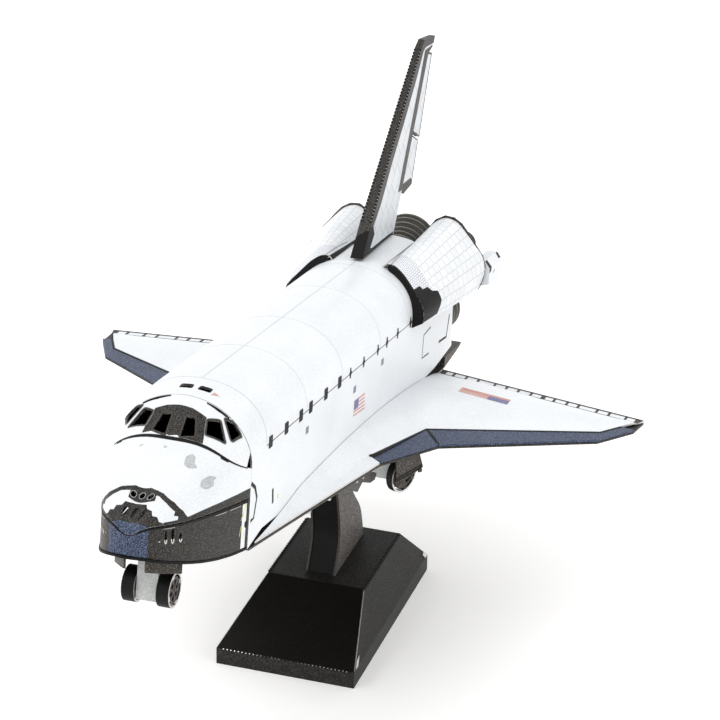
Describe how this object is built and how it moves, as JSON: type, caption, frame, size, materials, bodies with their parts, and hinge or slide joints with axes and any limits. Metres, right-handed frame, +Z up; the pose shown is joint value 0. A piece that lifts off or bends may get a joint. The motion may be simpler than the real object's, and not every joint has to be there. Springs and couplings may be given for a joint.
{
  "type": "folded sheet-metal space shuttle model on stand",
  "caption": "Small display model of a winged space orbiter folded from thin printed sheet metal, held nose-up on a folded black stand.",
  "frame": {"origin": "on the table under the middle of the model's bounding box", "axes": "+Z up; the nose points along -Y and the port wing along +X"},
  "size_m": [0.0736, 0.1103, 0.0668],
  "materials": {
    "white_sheet": "white print on bright sheet steel, satin",
    "charcoal_sheet": "speckled charcoal print, satin",
    "blue_grey_sheet": "speckled blue-grey print, satin",
    "black_sheet": "matte black print, fine grain",
    "grey_sheet": "light grey print, satin",
    "brown_grey_sheet": "brown-grey print, satin"
  },
  "bodies": {
    "root": {"aft_bulkhead": "black_sheet", "belly_wing_plate": "charcoal_sheet", "body_flap": "charcoal_sheet", "canopy": "white_sheet", "engine_bell_port": "brown_grey_sheet", "engine_bell_starboard": "brown_grey_sheet", "engine_bell_top": "brown_grey_sheet", "fin": "white_sheet", "fuselage_skin": "white_sheet", "glove_edge_port": "blue_grey_sheet", "glove_edge_starboard": "blue_grey_sheet", "main_door_inner_port": "brown_grey_sheet", "main_door_inner_starboard": "brown_grey_sheet", "main_door_outer_port": "brown_grey_sheet", "main_door_outer_starboard": "brown_grey_sheet", "main_gear_box_port": "grey_sheet", "main_gear_box_starboard": "grey_sheet", "main_wheel_port": "black_sheet", "main_wheel_starboard": "black_sheet", "nose_band": "charcoal_sheet", "nose_door_port": "brown_grey_sheet", "nose_door_starboard": "brown_grey_sheet", "nose_floor": "black_sheet", "nose_gear_box": "grey_sheet", "nose_shell": "white_sheet", "nose_wheel_port": "black_sheet", "nose_wheel_starboard": "black_sheet", "pod_end_port": "black_sheet", "pod_end_starboard": "black_sheet", "pod_nozzle_port": "brown_grey_sheet", "pod_nozzle_starboard": "brown_grey_sheet", "pod_shell_port": "white_sheet", "pod_shell_starboard": "white_sheet", "rudder_lower": "white_sheet", "rudder_upper": "white_sheet", "stand_arm": "black_sheet", "stand_base": "black_sheet", "thruster_pod_port": "white_sheet", "thruster_pod_starboard": "white_sheet", "wing_edge_port": "blue_grey_sheet", "wing_edge_starboard": "blue_grey_sheet", "wing_skin_port": "white_sheet", "wing_skin_starboard": "white_sheet"}
  },
  "joints": []
}
